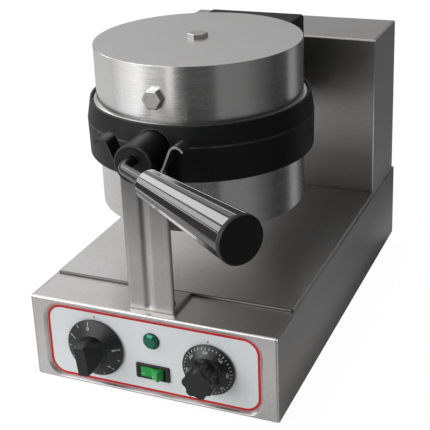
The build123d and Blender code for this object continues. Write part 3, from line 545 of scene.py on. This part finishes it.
class WAFFLE_OT_housing(Maker):
    """Finishes the base, the tower, the tray and most of the hidden pieces."""

    bl_idname = "waffle.housing"
    bl_label = "Housing"

    # Where the painted shade reaches its darkest, towards the tower
    back_y = front_y + 400 * mm
    # The recess in the cover's front, in millimetres: the middle's height, the depth, and then the straight
    # core's half size, the corner's radius and how much narrower the corner is at the bottom
    recess_middle, recess_depth = Vector((0, 52)), 3.0
    core, corner, draft = (96.5, 24.5), 15.0, 3.2
    # The same for the mouth as it is opened up, with its shift and its lowest edge
    open_core, open_corner, open_draft = (92.9, 21.8), 19.2, 3.0
    shift, lowest = (-1.5, 0.2), 12.5
    # How close to the recess's wall a point of the cover has to lie to be moved with it, in millimetres
    # across the wall and as a share of the depth
    close, close_depth = 0.25, 0.02

    def execute(self, context):
        tone = settings("steel").tone
        fine = 1.0 / settings("steel").grain
        # The front cover is a lighter copy of the housing's steel: painted light
        front = brushed("brushed_front", scaled(tone, 1.16), grain("Z"), 0.33, edge=0.0015, contrast=1.2,
                        relief=0.012)
        # The tower's front is painted darker towards its bottom: painted shade
        tower = brushed("brushed_tower", tone, grain("X"), 0.36, edge=0.0008, relief=0.004,
                        shade_ramps=[(2, 310 * mm, 140 * mm, 0.20)])
        # The side panels are painted darker towards the back: painted shade
        along = brushed("brushed_side", tone, grain("Y"), shade_ramps=[(1, front_y + 120 * mm, self.back_y, 0.42)])
        upright = brushed("brushed_upright", tone, grain("Z"))
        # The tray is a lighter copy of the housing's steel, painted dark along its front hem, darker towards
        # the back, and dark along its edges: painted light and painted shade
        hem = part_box("drip_tray")[0].y
        flat = brushed("brushed_tray", scaled(tone, 1.14), grain("X"), 0.34, edge=0.0008,
                       shade_ramps=[(1, hem + 1.8 * mm, hem + 0.8 * mm, 0.15),
                              (1, front_y + 260 * mm, self.back_y, 0.34)], edge_shade=0.7)
        self.cover(front)
        dressed(tower, "tower_cover")
        dressed(along, "left_side_panel", "right_side_panel")
        dressed(upright, "left_tower_side", "right_tower_side", "rear_panel")
        dressed(flat, "drip_tray")
        mill = brushed("mill_steel", (0.42, 0.42, 0.41), (fine, 40.0, fine), 0.42)
        dressed(mill, "base_pan", "bearing_frame", "stop_collar", "shaft_collar", "timer_spindle",
                "thermostat_spindle", "thermostat_bulb", "upper_clamp_plate", "lower_clamp_plate")
        plated = brushed("plated_steel", (0.60, 0.60, 0.59), (700.0, 700.0, 700.0), 0.24)
        dressed(plated, "rear_screws", "foot_screws", "post_screws", "shaft_screws", "block_bolts",
                "arm_bolts", "hollow_shaft", "hinge_pin")
        bronze = brushed("sintered_bronze", (0.45, 0.30, 0.13), (900.0, 900.0, 900.0), 0.4)
        dressed(bronze, "front_bearing", "rear_bearing")
        dressed(coated("rubber", (0.018, 0.018, 0.018), 0.75, 900.0), "rubber_feet")
        dressed(moulded("body_resin", (0.02, 0.02, 0.02), 0.45), "timer_body", "thermostat_body",
                "lamp_body", "terminal_block", "cable_gland", "gland_nut")
        wool = Finish("mineral_wool")
        fibre = wool.noise(wool.place(), 420.0, 6.0, 0.7)
        wool.set(Base_Color=wool.ramp(fibre, (0.3, (0.42, 0.38, 0.27)), (0.7, (0.72, 0.68, 0.55))),
                 Roughness=0.95, Normal=wool.bump(fibre, 0.7, 0.001))
        dressed(wool.data, "upper_insulation", "lower_insulation")
        return {"FINISHED"}

    def cover(self, steel):
        """The bent cover, with the pressed mouth of its panel recess opened up to the red border."""
        bm = bmesh.new()
        bm.from_mesh(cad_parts["base_cover"].data)
        bmesh.ops.remove_doubles(bm, verts=bm.verts, dist=1e-6)
        (wide, high), (open_wide, open_high) = self.core, self.open_core
        for vert in bm.verts:
            here = Vector(((vert.co.x - middle_x) / mm, vert.co.z / mm)) - self.recess_middle
            depth = (vert.co.y - front_y) / (self.recess_depth * mm)
            core = Vector((max(-wide, min(wide, here.x)), max(-high, min(high, here.y))))
            out = here - core
            off_wall = out.length - self.corner + self.draft * depth
            if -self.close_depth < depth < 1 + self.close_depth and abs(off_wall) < self.close:
                here = Vector((core.x * open_wide / wide + self.shift[0],
                               core.y * open_high / high + self.shift[1]))
                radius = self.open_corner - self.open_draft * depth
                here = here + out.normalized() * radius + self.recess_middle
                vert.co.x, vert.co.z = middle_x + here.x * mm, max(here.y, self.lowest) * mm
        piece = finished(bm, "cover_sheet", "base", steel)
        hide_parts("base_cover")


class WAFFLE_OT_drums(Maker):
    """Makes the two bright drums, with their flanges, and finishes their bolts."""

    bl_idname = "waffle.drums"
    bl_label = "Drums"

    # The drum's radii, the sheet's thickness and its bends' radius
    radius, flange, hole = 100.0, 103.2, 5.3
    sheet, bend = 1.0, 1.0
    # The wall bolt's place in from the drum's front and down from its top
    wall_inset, wall_drop = 2.8, 30.0
    # Both heads' heights, how far they are sunk into the sheet, their corners' radius and their crown's
    top_head, wall_head, sunk = 4.3, 6.5, 0.4
    head_radius, crown = 9.81, 1.1

    def execute(self, context):
        chosen, steps = settings("steel"), settings("iron").steps
        lines = (40.0, 1.0, 1.0 / chosen.grain)
        wall = brushed("brushed_drum", chosen.drum_tone, lines, 0.25, (drum_x, drum_y, 0), edge=0.0,
                       contrast=0.7, relief=0.014)
        tuned(wall, Anisotropic=0.9, Anisotropic_Rotation=0.25)
        top = brushed("satin_top", scaled(chosen.drum_tone, 0.96), (900.0, 900.0, 900.0), 0.40, edge=0.0,
                      contrast=0.6)
        for name, side, body in (("upper_drum", 1, "lid"), ("lower_drum", -1, "rotor")):
            low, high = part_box(name)
            height = (high.z - low.z) / mm
            inner = self.radius - self.sheet
            outline = [(inner, 0), (self.flange, 0), (self.flange, self.sheet), (self.radius, self.sheet),
                       (self.radius, height), (self.hole, height), (self.hole, height - self.sheet),
                       (inner, height - self.sheet)]
            bm = lathe(outline, steps)
            if side < 0:
                bmesh.ops.scale(bm, vec=(1, 1, -1), verts=bm.verts)
            base = low.z if side > 0 else high.z
            bmesh.ops.translate(bm, verts=bm.verts, vec=(drum_x, drum_y, base))
            piece = finished(bm, name + "_shell", body, wall, (self.bend * mm, 4))
            piece.data.materials.append(top)
            for face in piece.data.polygons:
                if abs(face.normal.z) > 0.9:
                    face.material_index = 1
            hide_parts(name)
        heads = brushed("bolt_heads", (0.62, 0.62, 0.60), (500.0, 500.0, 500.0), 0.30)
        dressed(heads, "lower_drum_bolts")
        above = Matrix.Translation((drum_x, drum_y, drum_high.z))
        ahead = Matrix.Translation((drum_x, drum_low.y + self.wall_inset * mm,
                                    drum_high.z - self.wall_drop * mm))
        flats_up = Matrix.Rotation(math.radians(30), 4, "Z")
        bm = bmesh.new()
        self.head(bm, above, self.top_head)
        self.head(bm, ahead @ quarter_turn(4) @ flats_up, self.wall_head)
        bolts = finished(bm, "lid_bolt_heads", "lid", heads, smooth=False)
        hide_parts("upper_drum_bolts")
        return {"FINISHED"}

    def head(self, bm, place, height):
        """A hexagon head with a rounded crown, sunk a little into the sheet."""
        lift = Matrix.Translation((0, 0, (height / 2 - self.sunk / 2) * mm))
        radius = self.head_radius * mm
        made = bmesh.ops.create_cone(bm, cap_ends=True, segments=6, radius1=radius, radius2=radius,
                                     depth=(height + self.sunk) * mm, matrix=place @ lift)["verts"]
        crown = max((f for v in made for f in v.link_faces),
                    key=lambda face: (place.inverted() @ face.calc_center_median()).z)
        rounded(bm, crown.edges[:], self.crown * mm, 3)


class WAFFLE_OT_iron(Maker):
    """Finishes the castings, the waffle plates, the heating elements and the hinge."""

    bl_idname = "waffle.iron"
    bl_label = "Iron"

    def execute(self, context):
        chosen = settings("iron")
        # On the castings the pale edges are a painted highlight
        black = coated("black_casting", chosen.coating, 0.50, wear_and_highlight=0.55, edge=0.0016)
        dressed(tuned(black, Specular_IOR_Level=0.28), "upper_ring", "lower_ring", "hinge_block", "lid_arm")
        dressed(coated("baked_plate", chosen.plate, 0.38, 900.0, 0.4),
                "upper_waffle_plate", "lower_waffle_plate")
        dressed(brushed("element_sheath", (0.20, 0.18, 0.16), (300.0, 300.0, 300.0), 0.5),
                "upper_heating_element", "lower_heating_element")
        return {"FINISHED"}


class WAFFLE_OT_post(Maker):
    """Finishes the post, and the saddle with its front edge of plain steel, with painted light and shade on
    both.
    """

    bl_idname = "waffle.post"
    bl_label = "Post and saddle"

    def execute(self, context):
        tone = settings("steel").tone
        # The post is a darker copy of the housing's steel, painted darker still towards its top: painted
        # shade
        dressed(brushed("brushed_post", scaled(tone, 0.9), grain("Z"), 0.38, edge=0.0045, relief=0.006,
                        shade_ramps=[(2, 150 * mm, 232 * mm, 0.25)]), "support_post")
        strip = Finish("saddle_strip")
        here = strip.place()
        cloud = strip.noise(here, 90.0, 3.0, 0.6)
        # Faces that look to the front show the strip's cut edge of plain steel, painted dark on the left and
        # light on the right: painted shade and painted light
        facing = strip.axes(strip.node("NewGeometry", out="Normal"))[1]
        cut = strip.between(0.0 - facing, 0.75, 0.95)
        left, right = spot(-15, 0, 0).x, spot(15, 0, 0).x
        cut_edge_light_and_shade = strip.mix(strip.between(strip.axes(here)[0], left, right), scaled(tone, 0.12),
                           scaled(tone, 0.75))
        dark = strip.mix(strip.between(cloud, 0.3, 0.7), (0.006, 0.0065, 0.0065), (0.014, 0.014, 0.014))
        strip.set(
            Base_Color=strip.mix(cut, dark, cut_edge_light_and_shade), Metallic=cut,
            Roughness=strip.between(cloud, 0.3, 0.7, 0.32, 0.42),
            Normal=strip.bump(cloud, 0.05, 0.0002, 0.0005))
        dressed(strip.data, "saddle")
        return {"FINISHED"}


class WAFFLE_OT_handle(Maker):
    """Makes the fluted grip and its cap, and finishes the crank."""

    bl_idname = "waffle.handle"
    bl_label = "Handle"

    # The crank's corner and its turn out of the front, with the grip's ends, counted from that corner
    corner, turn = (0.0, -28.6, 253.2), 34.1
    start, end, cap = 45.0, 176.2, 4.0
    start_radius, end_radius = 12.9, 19.6
    # As shares of the start's radius: the blank's corners, how far they are cut back for the narrow flats,
    # and the radius that only the bottoms of the grooves lie within, before they are scaled inwards
    blank, cut_back, groove_within, groove_scale = 1.04, 0.143, 0.994, 0.97
    # The flats' turn round the grip in degrees, and how far its rims and the grooves' bottoms are rounded
    lean, rounding = 2.5, 0.4

    def execute(self, context):
        chosen = settings("handle")
        turn = math.radians(self.turn)
        along = Vector((math.cos(turn), -math.sin(turn), 0))
        up = Vector((0, 0, 1))
        lie = axes_at(spot(*self.corner), up, along.cross(up), along)
        resin = tuned(moulded("grip_resin", chosen.resin, 0.07, 0.4, 300.0, 0.0), Specular_IOR_Level=1.0)
        body = moved(self.grip(chosen), lie)
        grip = finished(body, "grip_body", "lid", resin, smooth=False)
        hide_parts("handle_grip")
        matt = moulded("cap_resin", (0.003, 0.003, 0.003), 0.5, 0.0, 700.0, 0.0)
        far, wide, end = self.end - self.cap, self.end_radius, self.end
        outline = [(0.0, far), (wide - 0.6, far), (wide, far + 0.5), (wide, far + 2.2),
                   (wide - 0.7, far + 3.6), (wide - 1.8, end - 0.1), (wide - 2.8, end),
                   (wide - 3.8, end - 0.4), (0.0, end - 0.6)]
        cap = finished(moved(lathe(outline, 96), lie), "grip_end", "lid", matt)
        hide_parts("grip_cap")
        rod = brushed("polished_rod", (0.11, 0.11, 0.112), (600.0, 600.0, 600.0), 0.30, edge=0.0,
                      contrast=0.5)
        dressed(rod, "handle_rod")
        return {"FINISHED"}

    def grip(self, chosen):
        """A ring of broad and narrow flats with a fine groove between them, drawn out from the crank."""
        bm = bmesh.new()
        near = self.start_radius * mm
        bmesh.ops.create_circle(bm, cap_ends=True, segments=chosen.flats, radius=near * self.blank)
        bmesh.ops.rotate(bm, verts=bm.verts, matrix=Matrix.Rotation(math.radians(self.lean), 3, "Z"))
        rounded(bm, bm.verts[:], self.cut_back * near, 1, affect="VERTICES")
        rounded(bm, bm.verts[:], chosen.flute, 2, affect="VERTICES", profile=0.0)
        bottoms = [v for v in bm.verts if v.co.length < self.groove_within * near]
        bmesh.ops.scale(bm, vec=(self.groove_scale, self.groove_scale, 1), verts=bottoms)
        bmesh.ops.translate(bm, vec=(0, 0, self.start * mm), verts=bm.verts)
        verts = drawn_out(bm, bm.faces[:1])
        wider = self.end_radius / self.start_radius
        reach = self.end - self.cap - self.start
        bmesh.ops.scale(bm, vec=(wider, wider, 1), verts=verts)
        bmesh.ops.translate(bm, vec=(0, 0, reach * mm), verts=verts)
        rounded(bm, sharp_edges(bm, 60), self.rounding * mm, 2, clamp_overlap=True)
        return bm


class WAFFLE_OT_panel(Maker):
    """Finishes the control panel and adds its border line and index dots."""

    bl_idname = "waffle.panel"
    bl_label = "Control panel"

    # The border's lowest and highest edge, its middle and half its width, its corners' radius, how far
    # back the print lies, and the dots
    low, high = 14.4, 90.0
    middle, half_width = -1.5, 108.9
    corner, print_y = 16.0, 2.95
    dots, dot_radius = ((-59.0, 83.4), (57.2, 79.2)), 0.9

    def execute(self, context):
        chosen = settings("panel")
        enamel = moulded("panel_enamel", chosen.face, 0.34, 0.1, 900.0, 0.0, 0.03)
        dressed(enamel, "control_panel")
        red = printed("border_red", chosen.border)
        border = self.border(chosen.border_width)
        finished(border, "panel_border", "base", red, smooth=False)
        bm = bmesh.new()
        for x, z in self.dots:
            radius = self.dot_radius * mm
            made = bmesh.ops.create_circle(bm, cap_ends=True, segments=20, radius=radius)["verts"]
            bmesh.ops.rotate(bm, verts=made, matrix=quarter_turn(3))
            bmesh.ops.translate(bm, verts=made, vec=spot(x, self.print_y, z))
        self.thicken(bm)
        finished(bm, "index_dots", "base", red, smooth=False)
        return {"FINISHED"}

    def thicken(self, bm):
        """Gives flat print its thickness, towards the panel."""
        bmesh.ops.translate(bm, verts=drawn_out(bm, bm.faces[:]), vec=(0, print_depth, 0))

    def border(self, width):
        """A rounded frame, one line wide, that lies on the panel."""
        bm = bmesh.new()
        bmesh.ops.create_grid(bm, x_segments=1, y_segments=1, size=1)
        half_height = (self.high - self.low) / 2
        bmesh.ops.scale(bm, vec=(self.half_width * mm, half_height * mm, 1), verts=bm.verts)
        rounded(bm, bm.verts[:], self.corner * mm, 14, affect="VERTICES")
        bmesh.ops.inset_region(bm, faces=bm.faces[:], thickness=width, use_boundary=True,
                               use_even_offset=True)
        inner = max(bm.faces, key=lambda face: len(face.verts))
        bmesh.ops.delete(bm, geom=[inner], context="FACES")
        bmesh.ops.rotate(bm, verts=bm.verts, matrix=quarter_turn(3))
        middle = spot(self.middle, self.print_y, (self.low + self.high) / 2)
        bmesh.ops.translate(bm, verts=bm.verts, vec=middle)
        self.thicken(bm)
        return bm


class WAFFLE_OT_dials(Maker):
    """Finishes the two knobs and prints the scales on their skirts."""

    bl_idname = "waffle.dials"
    bl_label = "Dials"

    # Both axes' height, and each knob's axis with its skirt's radius
    height = 51.5
    timer, heat = (-59.0, 29.4), (57.5, 25.8)
    # The skirt's cone: its radius and depth at the hub, its depth at the edge, and the edge's width
    hub_radius, hub_y, edge_y, edge = 15.5, -5.3, -0.2, 1.2
    # Degrees of turn for one minute and for 50 degrees of heat, and what each scale rests at
    minute, timer_rest = 53.2, -12.0
    fifty, heat_rest = 46.0, -3.5
    # The last minute, and the first and last line of the heat in tens of degrees
    minutes, tens = 5, (1, 31)
    # The lines' widths and thickness, then length or height of each mark with its distance from the edge
    timer_line, heat_line, thickness = 0.55, 0.5, 0.1
    minute_line, half_line, minute_number = (3.6, 3.4), (2.6, 3.0), (5.0, 7.7)
    fifty_line, ten_line, heat_number = (2.6, 2.7), (1.9, 2.7), (3.6, 6.0)

    def execute(self, context):
        chosen = settings("panel")
        knob = moulded("knob_resin", chosen.resin, 0.28, 0.0, 1500.0, 0.0012)
        dressed(knob, "timer_knob", "temperature_knob")
        white = printed("dial_marks", chosen.marks)
        for name, body, scale in (("timer_scale", "timer", self.timer_scale()),
                                  ("temperature_scale", "temperature", self.heat_scale())):
            finished(scale, name, body, white, smooth=False)
        return {"FINISHED"}

    def on_skirt(self, knob, angle, inwards):
        """A place on a knob's skirt, inwards of its edge: local Y points outwards, local Z off the cone."""
        x, skirt = knob
        radius = skirt - inwards
        run = skirt - self.edge - self.hub_radius
        slope = math.atan2(self.edge_y - self.hub_y, run)
        turn = math.radians(angle)
        outward = Vector((math.sin(turn), 0, math.cos(turn)))
        across = Vector((math.cos(turn), 0, -math.sin(turn)))
        up = outward * math.cos(slope) + Vector((0, math.sin(slope), 0))
        depth = self.hub_y + (radius - self.hub_radius) * math.tan(slope)
        origin = spot(x, depth, self.height) + outward * radius * mm
        return axes_at(origin, across, up, across.cross(up))

    def timer_scale(self):
        """Minutes from 0 to 5, running to the left, with a shorter line at each half."""
        bm = bmesh.new()
        for half in range(2 * self.minutes + 1):
            angle = self.timer_rest - half * self.minute / 2
            whole = half % 2 == 0
            run, inwards = self.minute_line if whole else self.half_line
            size = (self.timer_line * mm, run * mm, self.thickness * mm)
            bar(bm, self.on_skirt(self.timer, angle, inwards), size)
            if whole:
                height, inwards = self.minute_number
                lettering(bm, str(half // 2), height * mm, self.on_skirt(self.timer, angle, inwards))
        return bm

    def heat_scale(self):
        """Numbers from 50 to 300 degrees, running to the left, with a line at each ten from 10 to 310. The
        dial rests near 200."""
        bm = bmesh.new()
        rest = 4 * self.fifty + self.heat_rest
        first, last = self.tens
        for ten in range(first, last + 1):
            angle = rest - ten * self.fifty / 5
            run, inwards = self.ten_line if ten % 5 else self.fifty_line
            size = (self.heat_line * mm, run * mm, self.thickness * mm)
            bar(bm, self.on_skirt(self.heat, angle, inwards), size)
            if ten % 5 == 0:
                height, inwards = self.heat_number
                lettering(bm, str(ten * 10), height * mm, self.on_skirt(self.heat, angle, inwards))
        return bm


class WAFFLE_OT_switches(Maker):
    """Makes the lamp's faceted lens and marks the rocker key."""

    bl_idname = "waffle.switches"
    bl_label = "Lamp and switch"

    # The lens's axis, its place back from the front, its radius and its number of sides
    lamp_height, lamp_y, lamp_radius, facets = 69.0, 1.0, 7.9, 8
    key_height, thickness = 35.8, 0.1
    # The line on the key's left half: its place, width and height
    line_x, line_y, line_drop, line_size = -10.0, 0.8, 2.1, (3.4, 0.7)
    # The ring on the right half, which leans back: its place, lift off the key, radius and line
    ring_x, ring_y, ring_drop, ring_lift = 1.9, -1.36, 3.6, 0.15
    ring_radius, ring_line, ring_lean = 2.2, 0.55, 35.1

    def execute(self, context):
        chosen = settings("panel")
        lens = Finish("lamp_lens")
        glint = lens.noise(lens.place(), 260.0, 2.0, 0.5)
        facing_up = lens.axes(lens.node("NewGeometry", out="Normal"))[2]
        # Facets that face up are painted a pale green: a painted highlight
        painted_highlight = lens.between(facing_up, 0.50, 0.60)
        green = lens.mix(glint, chosen.lamp, scaled(chosen.lamp, 1.3))
        lens.set(Base_Color=lens.mix(painted_highlight, green, (0.004, 0.52, 0.30)), Roughness=0.16)
        jewel = finished(self.jewel(), "lamp_jewel", "base", lens.data, (0.12 * mm, 2),
                         smooth=False)
        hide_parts("lamp_lens")
        dressed(moulded("key_resin", chosen.key, 0.30), "rocker_key")
        dressed(moulded("switch_resin", (0.012, 0.012, 0.012), 0.5), "switch_housing")
        pale = printed("key_marks", (0.50, 0.78, 0.56))
        finished(self.marks(), "key_marks", "rocker", pale, smooth=False)
        return {"FINISHED"}

    def marks(self):
        """The line and the ring that mark the key's halves."""
        bm = bmesh.new()
        middle = spot(self.line_x, self.line_y, self.key_height - self.line_drop)
        flat = axes_at(middle, (1, 0, 0), (0, 0, 1), (0, -1, 0))
        bar(bm, flat, [side * mm for side in (*self.line_size, self.thickness)])
        lean = math.radians(self.ring_lean)
        along = Vector((math.cos(lean), -math.sin(lean), 0))
        up = Vector((0, 0, 1))
        out = along.cross(up)
        centre = spot(self.ring_x, self.ring_y, self.key_height - self.ring_drop) + out * self.ring_lift * mm
        made = bmesh.ops.create_circle(bm, cap_ends=True, segments=28, radius=self.ring_radius * mm,
                                       matrix=axes_at(centre, along, up, out))["verts"]
        disc = made[0].link_faces[0]
        bmesh.ops.inset_region(bm, faces=[disc], thickness=self.ring_line * mm, use_boundary=True,
                               use_even_offset=True)
        bmesh.ops.delete(bm, geom=[disc], context="FACES")
        return bm

    def jewel(self):
        """A cut lens: a stem, a girdle and a row of facets that slope up to a flat table."""
        radius = self.lamp_radius
        outline = [(0.0, -9.0), (5.0, -9.0), (5.0, -1.4), (radius, -1.4), (radius, 0.2), (5.6, 2.0),
                   (0.0, 2.0)]
        bm = lathe(outline, self.facets)
        moved(bm, quarter_turn(4) @ Matrix.Rotation(math.pi / self.facets, 4, "Z"))
        return moved(bm, Matrix.Translation(spot(0, self.lamp_y, self.lamp_height)))


class WAFFLE_PT_panel(bpy.types.Panel):
    """Lists the makers of the waffle maker's pieces."""

    bl_label = "Waffle maker"
    bl_idname = "WAFFLE_PT_panel"
    bl_space_type = "VIEW_3D"
    bl_region_type = "UI"
    bl_category = "Waffle maker"

    def draw(self, context):
        for name, group in groups.items():
            box = self.layout.box()
            box.label(text=name.capitalize())
            for key in group.__annotations__:
                box.prop(settings(name), key)
        for maker in makers:
            self.layout.operator(maker.bl_idname)


groups = {"steel": SteelSettings, "iron": IronSettings, "handle": HandleSettings, "panel": PanelSettings,
          "stage": StageSettings}
makers = [WAFFLE_OT_stage, WAFFLE_OT_housing, WAFFLE_OT_drums, WAFFLE_OT_iron, WAFFLE_OT_post,
          WAFFLE_OT_handle, WAFFLE_OT_panel, WAFFLE_OT_dials, WAFFLE_OT_switches]
classes = [*groups.values(), *makers, WAFFLE_PT_panel]


def register():
    for made in classes:
        bpy.utils.register_class(made)
    for name, group in groups.items():
        setattr(bpy.types.Scene, "waffle_" + name, PointerProperty(type=group))


def unregister():
    for name in groups:
        delattr(bpy.types.Scene, "waffle_" + name)
    for made in reversed(classes):
        bpy.utils.unregister_class(made)


def main():
    register()
    bpy.context.scene.view_settings.view_transform = "Standard"
    for maker in makers:
        getattr(bpy.ops.waffle, maker.bl_idname.split(".")[1])()


if __name__ == "__main__":
    main()
